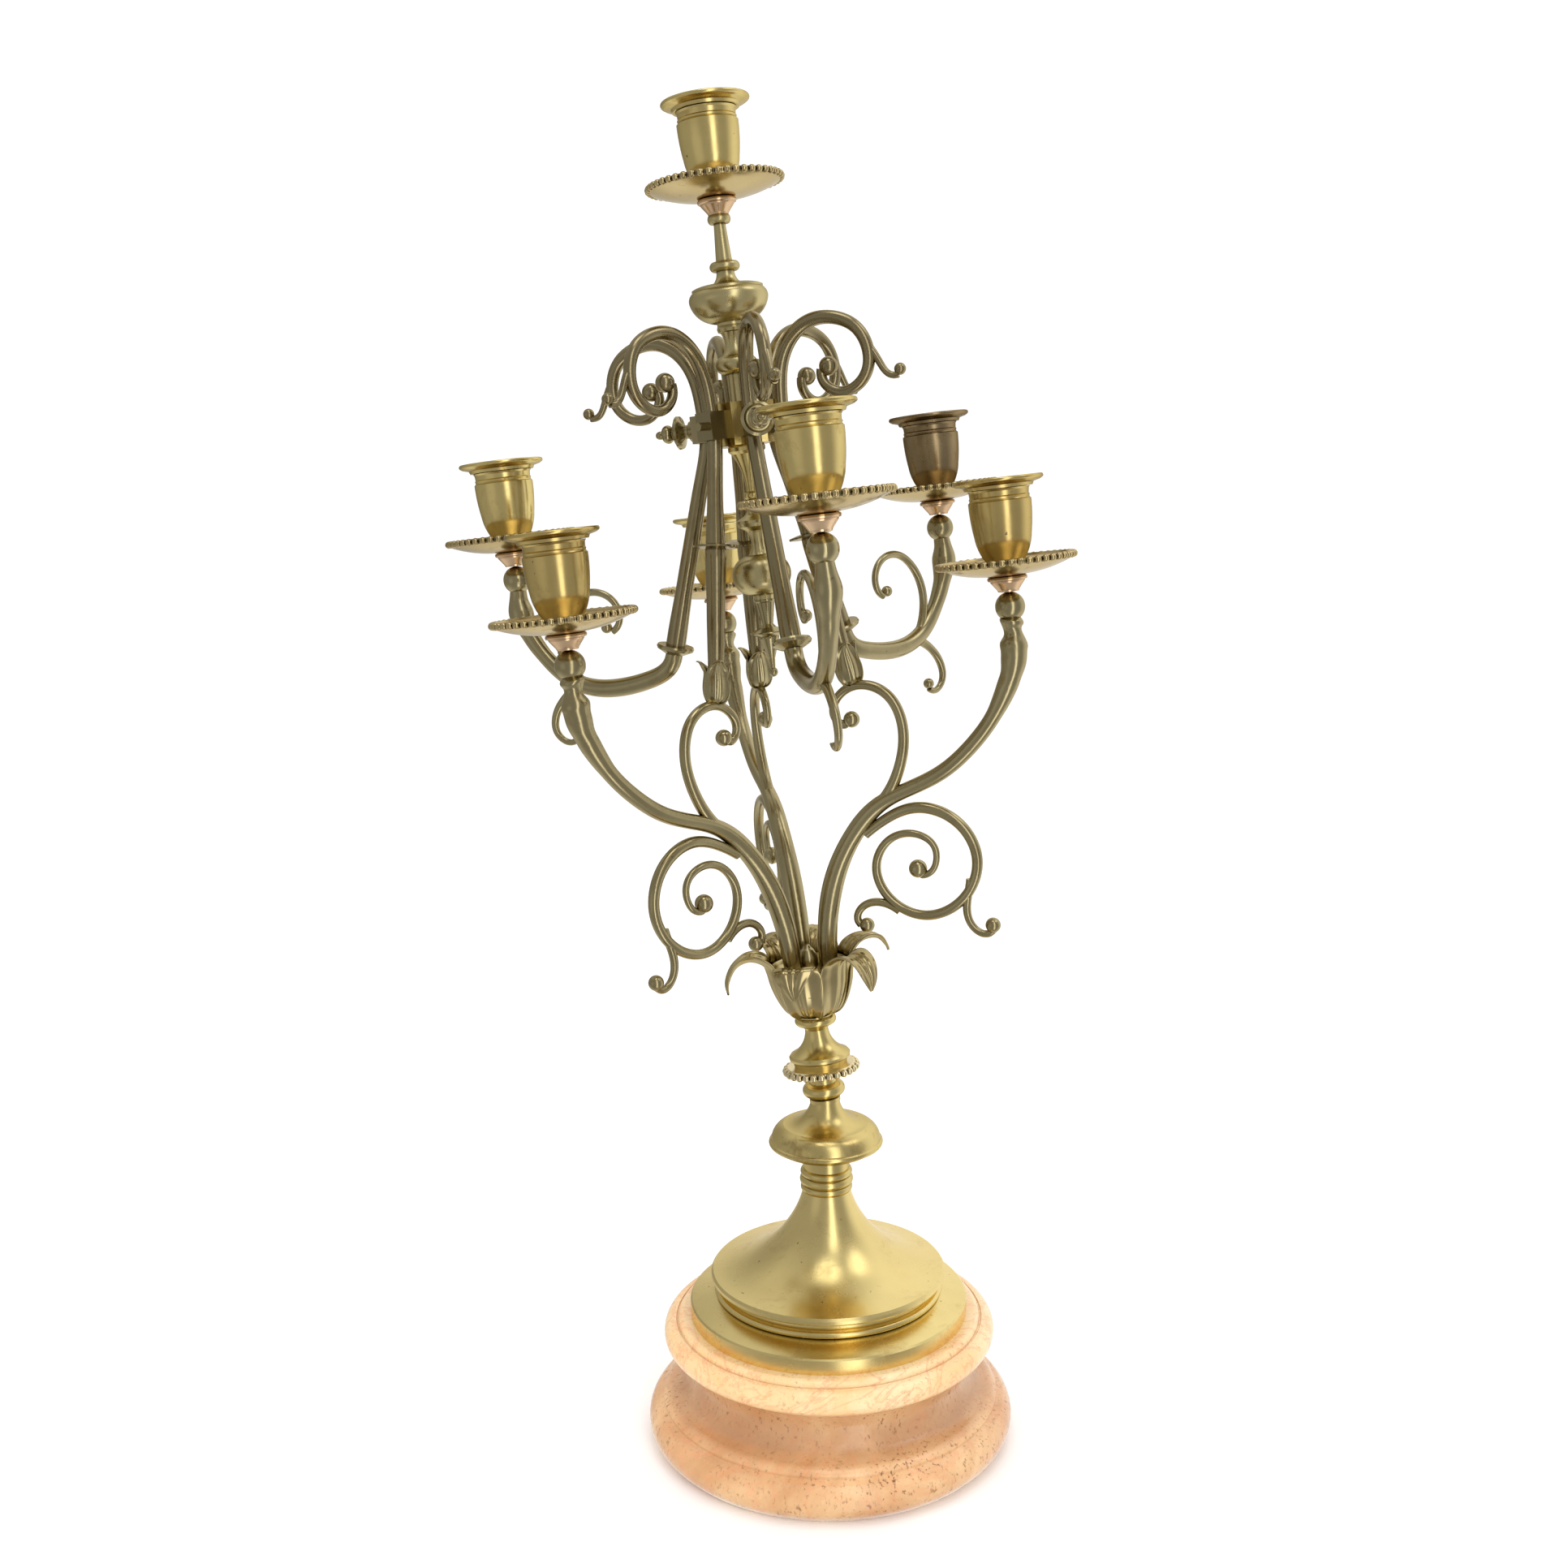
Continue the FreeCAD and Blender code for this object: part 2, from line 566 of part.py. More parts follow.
def column():
    above = "Sizes.hub_base + Sizes.hub_tall"
    shaft = turned("column_shaft", "shaft_wide", "shaft_tall", [
        (0, 0), (5.2, 0), (5, 13.6), via(8.6, 14.8), (10.2, 17.6), via(9.2, 20.6), (6.4, 22.2),
        via(4.4, 27.5), (5.8, 33), (6.9, 33.4), (7.3, 34.8), (6.9, 36.2), (6.9, 37.5), (0, 37.5),
    ])
    place_by(shaft, above)
    keep(shaft, "column_shaft")
    knob = turned("column_knob", "knob_wide", "knob_tall", [
        (0, 0), (7, 0), via(15.6, 4), (18.8, 10), via(18.5, 13), (16.9, 15), (17, 16),
        (15.8, 16.6), (14.4, 17), (0, 17),
    ])
    place_by(knob, above + " + Sizes.shaft_tall")
    keep(knob, "column_knob")
    finial = turned("finial_stem", "finial_wide", "finial_tall", [
        (0, 0), (9, 0), via(5.6, 2.4), (4.3, 6.6), (6, 6.8), via(7.2, 8.9), (6, 11), (3.9, 11),
        (2.8, 28.4), (4.6, 28.5), via(5.5, 30.5), (4.8, 32.5), (0, 32.5),
    ])
    place_by(finial, above + " + Sizes.shaft_tall + Sizes.knob_tall")
    keep(finial, "finial_stem")

    trumpet = turned("hub_trumpet", "trumpet_wide", "trumpet_tall", [
        (0, 0), (2.6, 0), (3.4, 0.4), via(4.1, 2), (3.4, 3.6), (2.6, 4), via(4.2, 15), (7.4, 22),
        (9, 23.4), (9, 25.2), (8.4, 26), (0, 26),
    ])
    place_by(trumpet, "Sizes.hub_base - Sizes.trumpet_tall")
    keep(trumpet, "hub_trumpet")
    ball_piece = turned("column_ball", "ball_piece_wide", "ball_piece_tall", [
        (0, 0), (4.6, 0), (5, 2.2), via(14.3, 12), (5.4, 21.8), via(3.3, 27), (5.2, 33.4),
        (8.6, 35.4), (9.2, 37), (9.2, 38.4), (7, 39.6), via(3.6, 42.5), (2.8, 48), (0, 48),
    ])
    below = "Sizes.hub_base - Sizes.trumpet_tall - Sizes.ball_piece_tall"
    place_by(ball_piece, below)
    keep(ball_piece, "column_ball")
    pendant = turned("pendant", "pendant_wide", "pendant_tall", [
        (0, 0), via(2.2, 2.2), (1.2, 4.4), (1.6, 9), (4.9, 19), (4.9, 19.8), (8.9, 21.8),
        (9, 22.3), (4, 24.4), (2.7, 26), (4.6, 36.6), (5.1, 37), (5.1, 38), (0, 38),
    ])
    place_by(pendant, below + " - Sizes.pendant_tall")
    keep(pendant, "pendant")


def bolts():
    """Radial studs: short ones in the tulip rods, long ones that carry the thumb nuts."""
    studs = []
    middle = size("hub_base") + size("hub_tall") / 2
    face = size("hub_flats") / 2
    for angles, reach in ((LOWER_ANGLES, 14.5), (UPPER_ANGLES, 19)):
        for angle in angles:
            stud = Part.makeCylinder(size("stud_wide") / 2, reach, Vector(face, 0, middle),
                                     Vector(1, 0, 0))
            stud.rotate(Vector(), Vector(0, 0, 1), angle)
            studs.append(stud)
    piece = doc.addObject("Part::Feature", "hub_bolts")
    piece.Shape = Part.makeCompound(studs)
    piece.Placement = LEAN
    keep(piece, "hub_bolts")


def thumb_nut(number, angle):
    """A finial-shaped nut, turned about the stud that it runs on."""
    hole = size("stud_wide") / 2 + 0.05
    body = turned(f"thumb_nut_{number}", "thumb_nut_wide", "thumb_nut_long", [
        (hole, 0), (4.6, 0), (4.8, 1.8), (3.4, 2.6), (3.2, 4.4), via(5.4, 6), (7.8, 6.8),
        (8, 8.2), (6.6, 9), via(3, 10), (2.6, 11.2), via(4.4, 14), (1.6, 16.4), via(2, 18),
        (1, 19.8), (0.4, 20), (0, 20), (0, 9.4), (hole, 9.4),
    ])
    turn = Rotation(Vector(0, 0, 1), angle).multiply(Rotation(Vector(0, 1, 0), 90))
    place_by(body, "Sizes.hub_base + Sizes.hub_tall / 2",
             "Sizes.hub_flats / 2 + Sizes.block_wide + 0.3", angle, turn)
    keep(body, f"thumb_nut_{number}")


# ---------------------------------------------------------------- candle holders
def candle_holder(number, reach, angle, seat):
    """The dish, the cup and the loose nozzle of one light, and the nut under them."""
    dish = turned(f"dish_{number}", "dish_wide", "dish_tall", [
        (0, 0), (6, 0), via(20, 1.7), (30.4, 5.2), (31.2, 5.6), (31.4, 8), (30.2, 8.4),
        (29.4, 7.4), via(20, 4.7), (8, 3.6), (0, 3.6),
    ])
    bead_ring(dish, f"dish_{number}", "dish_bead", "dish_beads", "dish_wide", 0.5, 6.9)
    nut_top = f"{seat} + Sizes.seat_nut_tall"
    place_by(dish, nut_top, reach, angle)
    keep(dish, f"dish_{number}")

    cup = turned(f"cup_{number}", "cup_wide", "cup_tall", [
        (0, 0), (6.2, 0), via(11.2, 7.2), (13.3, 15), via(14.3, 23), (14.6, 30.8), (14.1, 31.2),
        (13.8, 31.8), (14.1, 32.6), (13.7, 33.2), (13.9, 35.4), (14.5, 36.3), (12.35, 36.3),
        (12.35, 15.6), (0, 15.6),
    ])
    place_by(cup, f"{nut_top} + Sizes.dish_tall * 3.6 / 8.4", reach, angle)
    keep(cup, f"cup_{number}")

    hole = size("candle_hole") / 2
    nozzle = turned(f"nozzle_{number}", "nozzle_wide", "nozzle_tall", [
        (0, 0), (12.2, 0), (12.2, 18), (15.8, 18.2), (16.4, 19.6), (19.4, 20.4), (20.4, 21),
        via(21, 22), (20.4, 23), (18.6, 23), via(16.8, 22), (13, 21.4), (hole, 20.8), (hole, 1.2),
        (0, 1.2),
    ])
    place_by(nozzle, f"{nut_top} + Sizes.dish_tall * 3.6 / 8.4 + Sizes.cup_tall"
             " - Sizes.nozzle_tall * 17.9 / 23", reach, angle)
    keep(nozzle, f"nozzle_{number}")


def seat_nut(reach, angle, seat):
    nut = disc((0, 0), (0, 1), [
        (0, 0), (4.8, 0), (5.2, 0.9), (7.9, 4.4), (8.2, 5.1), (9.1, 5.4), (9.4, 6.2), (9.1, 7),
        (8.2, 7.4), (0, 7.4)])
    turn = Rotation(Vector(0, 0, 1), angle)
    nut.Placement = Placement(turn.multVec(Vector(reach, 0, seat)), turn)
    return nut


marble_base()
brass_foot()
leaf_cup()
tie_rod()
for order, bearing in enumerate(LOWER_ANGLES, start=1):
    lower_branch(order, bearing)
    tulip(order, bearing)
    tulip_rod(order, bearing)
for order, bearing in enumerate(UPPER_ANGLES, start=1):
    arm_rod(order, bearing)
    upper_arm(order, bearing)
    thumb_nut(order, bearing)
hub()
column()
bolts()

column_top = "Sizes.hub_base + Sizes.hub_tall + Sizes.shaft_tall + Sizes.knob_tall + Sizes.finial_tall"
seats = [("0", 0, column_top)]
seats += [("Sizes.upper_reach", bearing, "Sizes.upper_seat") for bearing in UPPER_ANGLES]
seats += [("Sizes.lower_reach", bearing, "Sizes.lower_seat") for bearing in LOWER_ANGLES]
for order, (reach, bearing, seat) in enumerate(seats, start=1):
    candle_holder(order, reach, bearing, seat)

column_height = sum(size(f"{name}_tall") for name in ("hub", "shaft", "knob", "finial"))
nuts = [seat_nut(0, 0, size("hub_base") + column_height)]
nuts += [seat_nut(size("upper_reach"), bearing, size("upper_seat")) for bearing in UPPER_ANGLES]
nuts += [seat_nut(size("lower_reach"), bearing, size("lower_seat")) for bearing in LOWER_ANGLES]
nut_group = doc.addObject("Part::Feature", "seat_nuts")
nut_group.Shape = Part.makeCompound(nuts)
nut_group.Placement = LEAN
keep(nut_group, "seat_nuts")

# ---------------------------------------------------------------- check and write
doc.recompute()
os.makedirs("parts", exist_ok=True)
for piece in doc.Objects:
    assert "Invalid" not in piece.State and "Error" not in piece.State, piece.Label
for piece in made:
    assert not piece.Shape.isNull() and piece.Shape.isValid(), piece.Label
    piece.Shape.exportStep(f"parts/{piece.Label}.step")
print(len(made), "pieces")
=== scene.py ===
"""Looks of the seven-light candelabrum: materials, organic pieces, lights and the camera."""
import json
import math

import bpy
from mathutils import Matrix, Vector


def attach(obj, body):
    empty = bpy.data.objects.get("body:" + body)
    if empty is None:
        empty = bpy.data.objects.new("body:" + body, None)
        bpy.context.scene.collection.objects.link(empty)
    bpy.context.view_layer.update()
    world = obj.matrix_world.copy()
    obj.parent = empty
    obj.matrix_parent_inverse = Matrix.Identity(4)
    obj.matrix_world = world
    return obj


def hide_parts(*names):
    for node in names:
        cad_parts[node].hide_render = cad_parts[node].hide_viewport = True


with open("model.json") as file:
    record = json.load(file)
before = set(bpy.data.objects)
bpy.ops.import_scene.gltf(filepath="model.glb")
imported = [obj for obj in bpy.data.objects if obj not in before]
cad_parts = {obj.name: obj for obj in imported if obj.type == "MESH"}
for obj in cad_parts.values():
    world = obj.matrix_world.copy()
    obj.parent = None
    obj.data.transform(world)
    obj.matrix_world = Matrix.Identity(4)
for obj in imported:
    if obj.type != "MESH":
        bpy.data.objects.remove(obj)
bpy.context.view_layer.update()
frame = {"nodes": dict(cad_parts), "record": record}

LOWER_BEARINGS = (90, -30, 210)

# Everything above the knop leans about the middle of the knop's top, as the bores' axes do. The
# feet of the leaf cup and of the tulips, and the tulips' tip towards the column, are those of the
# upright object.
KNOP_TOP = Vector((0, 0, 0.1775))
STEM_UP = Vector(frame["record"]["mounts"][1]["axis"])
LEAN = (Matrix.Translation(KNOP_TOP) @ Vector((0, 0, 1)).rotation_difference(STEM_UP).to_matrix().to_4x4()
        @ Matrix.Translation(-KNOP_TOP))
LEAF_CUP_FOOT = 0.223
TULIP_FOOT = (0.0389, 0, 0.3865)
TULIP_TIP = -9.5

# The side that the camera stands on, and the softboxes: (bearing from that side, rise), half
# width and soft edge in degrees, and strength.
CAMERA_SIDE = -103.68
SOFTBOXES = (((0, 77), 7, 9, 2.0), ((84, 54), 6, 9, 1.5))
KEY_BEARING = 19


# ------------------------------------------------------------------ node helpers
class Nodes:
    """A short way to build one material's node tree."""

    def __init__(self, name):
        self.material = bpy.data.materials.new(name)
        self.material.use_nodes = True
        self.tree = self.material.node_tree
        self.tree.nodes.clear()
        self.out = self.tree.nodes.new("ShaderNodeOutputMaterial")
        self.shader = self.tree.nodes.new("ShaderNodeBsdfPrincipled")
        self.tree.links.new(self.shader.outputs[0], self.out.inputs["Surface"])
        self.place = self.tree.nodes.new("ShaderNodeTexCoord").outputs["Object"]

    def add(self, kind, **values):
        node = self.tree.nodes.new(kind)
        for key, value in values.items():
            setattr(node, key, value)
        return node

    def link(self, source, target):
        self.tree.links.new(source, target)

    def stretched(self, scale):
        """The coordinates, scaled by (x, y, z)."""
        node = self.add("ShaderNodeMapping")
        node.inputs["Scale"].default_value = scale
        self.link(self.place, node.inputs["Vector"])
        return node.outputs[0]

    def noise(self, scale, detail=4, rough=0.55, where=None, distortion=0):
        node = self.add("ShaderNodeTexNoise")
        self.link(where or self.place, node.inputs["Vector"])
        node.inputs["Scale"].default_value = scale
        node.inputs["Detail"].default_value = detail
        node.inputs["Roughness"].default_value = rough
        node.inputs["Distortion"].default_value = distortion
        return node.outputs[0]

    def ramp(self, source, stops):
        """Maps a value through (position, brightness) stops."""
        node = self.add("ShaderNodeValToRGB")
        stops = [(at, (v, v, v, 1) if isinstance(v, (int, float)) else (*v, 1)) for at, v in stops]
        node.color_ramp.elements[0].position, node.color_ramp.elements[0].color = stops[0]
        node.color_ramp.elements[1].position, node.color_ramp.elements[1].color = stops[-1]
        for at, colour in stops[1:-1]:
            node.color_ramp.elements.new(at).color = colour
        self.link(source, node.inputs[0])
        return node.outputs[0]

    def mix(self, share, low, high, blend="MIX"):
        node = self.add("ShaderNodeMix", data_type="RGBA", blend_type=blend)
        self.feed(share, node.inputs[0])
        self.feed(low, node.inputs[6])
        self.feed(high, node.inputs[7])
        return node.outputs[2]

    def maths(self, operation, first, second=0.0, clamp=False):
        node = self.add("ShaderNodeMath", operation=operation, use_clamp=clamp)
        self.feed(first, node.inputs[0])
        self.feed(second, node.inputs[1])
        return node.outputs[0]

    def feed(self, value, socket):
        if isinstance(value, bpy.types.NodeSocket):
            self.link(value, socket)
        elif isinstance(value, tuple):
            socket.default_value = (*value, 1)
        else:
            socket.default_value = value

    def bump(self, height, depth, strength=1.0, under=None):
        node = self.add("ShaderNodeBump")
        node.inputs["Strength"].default_value = strength
        node.inputs["Distance"].default_value = depth
        self.link(height, node.inputs["Height"])
        if under is not None:
            self.link(under, node.inputs["Normal"])
        return node.outputs[0]

    def crevices(self, reach):
        """0 in the open, 1 deep in a crevice."""
        node = self.add("ShaderNodeAmbientOcclusion", samples=8, only_local=True)
        node.inputs["Distance"].default_value = reach
        return self.maths("SUBTRACT", 1.0, node.outputs["AO"], True)


def brass(name, bright, dull, rough, cloudy=0.35, stain=0.4, spotted=0.75, turned=True, edge=1.0,
          dirt_and_shade=(0.24, 0.62)):
    """Old brass: cloudy tarnish, dark spots, faint turning marks, and crevices darkened by ambient
    occlusion, which is painted shade as well as dirt. The edge is the tint at grazing angles, and
    the last pair is how deep a crevice is where that darkening starts and where it's full."""
    m = Nodes(name)
    cloud = m.ramp(m.noise(22, 4, 0.55), [(0.36, 0.0), (0.68, cloudy)])
    colour = m.mix(cloud, bright, dull)
    brown = tuple(c * share for c, share in zip(dull, (0.62, 0.52, 0.42)))
    patches = m.ramp(m.noise(60, 6, 0.7, distortion=0.5), [(0.55, 0.0), (0.74, stain)])
    colour = m.mix(patches, colour, brown)
    spots = m.ramp(m.noise(340, 2, 0.5), [(0.73, 0.0), (0.78, spotted)])
    colour = m.mix(spots, colour, (0.1, 0.065, 0.035))
    # Painted shade: ambient occlusion darkens the crevices to a near-black brown, standing in for the
    # shade there as well as for dirt.
    grime_and_shade = m.ramp(m.crevices(0.0035), [(dirt_and_shade[0], 0.0), (dirt_and_shade[1], 0.9)])
    colour = m.mix(grime_and_shade, colour, (0.05, 0.04, 0.025))
    m.link(colour, m.shader.inputs["Base Color"])
    m.shader.inputs["Metallic"].default_value = 1.0
    m.shader.inputs["Specular Tint"].default_value = (edge, edge * 0.95, edge * 0.85, 1)
    uneven = m.ramp(m.noise(90, 4, 0.6), [(0.3, rough - 0.03), (0.7, rough + 0.05)])
    m.link(m.maths("ADD", uneven, m.maths("MULTIPLY", patches, 0.12)), m.shader.inputs["Roughness"])
    relief = m.bump(m.noise(120, 3, 0.5), 0.00002, 0.35 if turned else 0.15)
    if turned:
        rings = m.noise(1, 3, 0.6, where=m.stretched((6, 6, 2400)))
        relief = m.bump(rings, 0.000006, 0.25, relief)
    m.link(relief, m.shader.inputs["Normal"])
    return m.material


def marble(name, pale, warm, flecks, veined, browned):
    """Polished alabaster-like stone: cloudy peach, creamy drifts and fine brown flecks."""
    m = Nodes(name)
    cloud = m.ramp(m.noise(13, 5, 0.6, distortion=1.4), [(0.36, 0.0), (0.66, 1.0)])
    colour = m.mix(cloud, warm, pale)
    veins = m.ramp(m.noise(20, 7, 0.65, distortion=2.4), [(0.47, 0.0), (0.5, veined), (0.53, 0.0)])
    colour = m.mix(veins, colour, (0.78, 0.3, 0.14))
    clusters = m.ramp(m.noise(34, 4, 0.6), [(0.38, 0.15), (0.62, 1.0)])
    grain = m.ramp(m.noise(1, 3, 0.6, where=m.stretched((620, 620, 330))), [(0.57, 0.0), (0.68, flecks)])
    colour = m.mix(m.maths("MULTIPLY", grain, clusters), colour, (0.24, 0.1, 0.04))
    low_cove = m.add("ShaderNodeSeparateXYZ")
    m.link(m.place, low_cove.inputs[0])
    band = m.ramp(low_cove.outputs["Z"], [(0.0235, 0.0), (0.0265, 1.0), (0.034, 0.7), (0.045, 0.15)])
    uneven = m.ramp(m.noise(24, 5, 0.65), [(0.3, 0.35), (0.6, 1.0)])
    browning = m.maths("MULTIPLY", m.maths("MULTIPLY", band, uneven), browned)
    colour = m.mix(browning, colour, (0.42, 0.22, 0.11))
    # Painted shade: ambient occlusion darkens the crevices to a brown, standing in for the shade there as
    # well as for grime.
    grime_and_shade = m.ramp(m.crevices(0.004), [(0.3, 0.0), (0.8, 0.6)])
    colour = m.mix(grime_and_shade, colour, (0.4, 0.2, 0.09))
    m.link(colour, m.shader.inputs["Base Color"])
    m.link(m.ramp(m.noise(60, 4), [(0.3, 0.2), (0.7, 0.32)]), m.shader.inputs["Roughness"])
    m.shader.inputs["Subsurface Weight"].default_value = 0.2
    m.shader.inputs["Subsurface Radius"].default_value = (0.01, 0.005, 0.0025)
    m.shader.inputs["Coat Weight"].default_value = 0.4
    m.shader.inputs["Coat Roughness"].default_value = 0.1
    m.link(m.bump(m.noise(90, 4), 0.00015, 0.4), m.shader.inputs["Normal"])
    return m.material


SATIN = brass("satin_brass", (0.82, 0.66, 0.28), (0.6, 0.46, 0.18), rough=0.21,
              cloudy=0.5, stain=0.5, edge=0.6)
FOOT = brass("foot_brass", (0.88, 0.71, 0.31), (0.72, 0.55, 0.23), rough=0.24,
             cloudy=0.4, stain=0.35, dirt_and_shade=(0.45, 0.95))
STEM = brass("stem_brass", (0.82, 0.66, 0.28), (0.56, 0.42, 0.16), rough=0.23,
             cloudy=0.5, stain=0.8, edge=0.7)
OLIVE = brass("olive_brass", (0.66, 0.56, 0.29), (0.46, 0.37, 0.17), rough=0.27,
              cloudy=0.5, stain=0.4, spotted=0.4, edge=0.6)
AGED = brass("aged_brass", (0.44, 0.375, 0.21), (0.3, 0.245, 0.125), rough=0.2,
             cloudy=0.45, stain=0.3, spotted=0.4, turned=False, edge=0.85, dirt_and_shade=(0.4, 0.8))
RODS = brass("rod_brass", (0.36, 0.3, 0.17), (0.25, 0.2, 0.105), rough=0.2,
             cloudy=0.45, stain=0.3, spotted=0.4, turned=False, edge=0.85, dirt_and_shade=(0.4, 0.8))
# The crevice darkening starts early here, so the gaps between the dish beads carry dark painted shade as
# well as dirt.
DISH = brass("dish_brass", (0.62, 0.49, 0.25), (0.38, 0.28, 0.13), rough=0.18,
             cloudy=0.5, stain=0.6, edge=0.8, dirt_and_shade=(0.12, 0.45))
LEAF = brass("leaf_brass", (0.6, 0.5, 0.265), (0.34, 0.26, 0.12), rough=0.18,
             cloudy=0.6, stain=0.5, spotted=0.5, turned=False, edge=0.6, dirt_and_shade=(0.3, 0.7))
WARM = brass("warm_brass", (0.72, 0.55, 0.22), (0.48, 0.35, 0.13), rough=0.22,
             cloudy=0.5, stain=0.5, edge=0.5)
DARK = brass("dark_brass", (0.36, 0.27, 0.15), (0.18, 0.12, 0.06), rough=0.25,
             cloudy=0.8, stain=0.6, edge=0.4)
# The crevice darkening starts early here, so the gaps between the flange beads carry dark painted shade
# as well as dirt.
POLISHED = brass("polished_brass", (0.88, 0.75, 0.47), (0.7, 0.57, 0.33), rough=0.14,
                 cloudy=0.3, stain=0.2, dirt_and_shade=(0.1, 0.42))
COPPERY = brass("coppery_brass", (0.84, 0.6, 0.38), (0.56, 0.36, 0.2), rough=0.2,
                cloudy=0.5, stain=0.3, edge=0.7)
CAP_STONE = marble("marble_cap", (0.9, 0.7, 0.42), (0.86, 0.54, 0.25),
                   flecks=0.45, veined=0.5, browned=0.0)
FOOT_STONE = marble("marble_foot", (0.79, 0.51, 0.265), (0.6, 0.31, 0.135),
                    flecks=1.0, veined=0.35, browned=0.75)

BY_SLOT = {"marble": FOOT_STONE, "satin_brass": SATIN, "aged_brass": AGED, "polished_brass": POLISHED}
BY_NODE = {
    "marble_cap": CAP_STONE,
    "foot_plate": FOOT,
    "foot_dome": FOOT,
    "stem_neck": STEM,
    "knop": STEM,
    "seat_nuts": COPPERY,
    "column_shaft": OLIVE,
    "column_knob": OLIVE,
    "column_ball": OLIVE,
    "finial_stem": OLIVE,
    "stem_ring": STEM,
    "beaded_flange": POLISHED,
    "cup_3": DARK,
    "nozzle_3": DARK,
    "cup_6": WARM,
    "nozzle_6": WARM,
    "cup_7": WARM,
    "nozzle_7": WARM,
    **{f"dish_{number}": DISH for number in range(1, 8)},
    **{f"{kind}_rod_{number}": RODS for kind in ("arm", "tulip") for number in (1, 2, 3)},
}


def dress_cad():
    """Gives every carried-over CAD node its procedural material."""
    slots = {row["node"]: row["material_slot"] for row in frame["record"]["subparts"]}
    for node, piece in frame["nodes"].items():
        material = BY_NODE.get(node, BY_SLOT[slots[node]])
        for slot in piece.material_slots:
            slot.material = material


# ------------------------------------------------------------------ leaves and petals
def along(points, share):
    """A smooth value at this share of the way through evenly spaced rows of numbers."""
    spot = min(max(share, 0.0), 1.0) * (len(points) - 1)
    low = min(int(spot), len(points) - 2)
    part = spot - low
    rows = [points[min(max(low + k, 0), len(points) - 1)] for k in (-1, 0, 1, 2)]
    smooth = []
    for a, b, c, d in zip(*rows):
        smooth.append(0.5 * (2 * b + (c - a) * part + (2 * a - 5 * b + 4 * c - d) * part ** 2
                             + (3 * b - a - 3 * c + d) * part ** 3))
    return smooth


def petal(profile, bearing, fold, waves, rows=44, columns=21):
    """One petal as rows of points. The profile rows are (radius, height, half width) in
    millimetres from the cup's foot out to the tip. The fold lifts or drops the edges of the free
    part, and the waves make its edges uneven."""
    sheet = []
    for row in range(rows):
        share = row / (rows - 1)
        radius, height, half = along(profile, share)
        radius_on, height_on = along(profile, min(share + 0.01, 1.0))[:2]
        radius_back, height_back = along(profile, max(share - 0.01, 0.0))[:2]
        run, rise = radius_on - radius_back, height_on - height_back
        length = math.hypot(run, rise) or 1.0
        out = (rise / length, -run / length)
        free = min(max((share - 0.45) / 0.25, 0.0), 1.0)
        line = []
        for column in range(columns):
            across = 2 * column / (columns - 1) - 1
            crease = -1.5 * math.exp(-(across / 0.12) ** 2)
            ribs = 0.9 * math.cos(across * 6.8) * (1 - across ** 2)
            lip = 1.1 * abs(across) ** 6
            bend = -fold * half * across ** 2 * free
            wave = waves * half * 0.12 * math.sin(share * 17 + across * 2) * abs(across) ** 2 * free
            push = (crease + ribs * 0.8 + lip) * min(1.0, half / 6) + bend + wave
            r = radius + out[0] * push
            z = height + out[1] * push
            turn = math.radians(bearing) + across * half / max(r, 1.0)
            line.append((r * math.cos(turn), r * math.sin(turn), z))
        sheet.append(line)
    return sheet


def lathe_rows(outline, around=64):
    """A turned surface as rows of points, from (radius, height) corners."""
    return [[(r * math.cos(2 * math.pi * k / around), r * math.sin(2 * math.pi * k / around), z)
             for k in range(around + 1)] for r, z in outline]


def sheets_to_mesh(name, sheets, place=Matrix.Identity(4)):
    """Joins grids of points, given in millimetres, into one mesh in metres."""
    points, faces = [], []
    for sheet in sheets:
        first = len(points)
        columns = len(sheet[0])
        for line in sheet:
            points.extend(place @ (Vector(p) / 1000) for p in line)
        for row in range(len(sheet) - 1):
            for column in range(columns - 1):
                a = first + row * columns + column
                faces.append((a, a + 1, a + columns + 1, a + columns))
    mesh = bpy.data.meshes.new(name)
    mesh.from_pydata(points, [], faces)
    mesh.validate()
    for face in mesh.polygons:
        face.use_smooth = True
    piece = bpy.data.objects.new(name, mesh)
    bpy.context.collection.objects.link(piece)
    return piece


def thicken(piece, thick, levels=1):
    solid = piece.modifiers.new("thickness", "SOLIDIFY")
    solid.thickness = thick
    solid.offset = -1
    smooth = piece.modifiers.new("smooth", "SUBSURF")
    smooth.levels = levels
    smooth.render_levels = levels


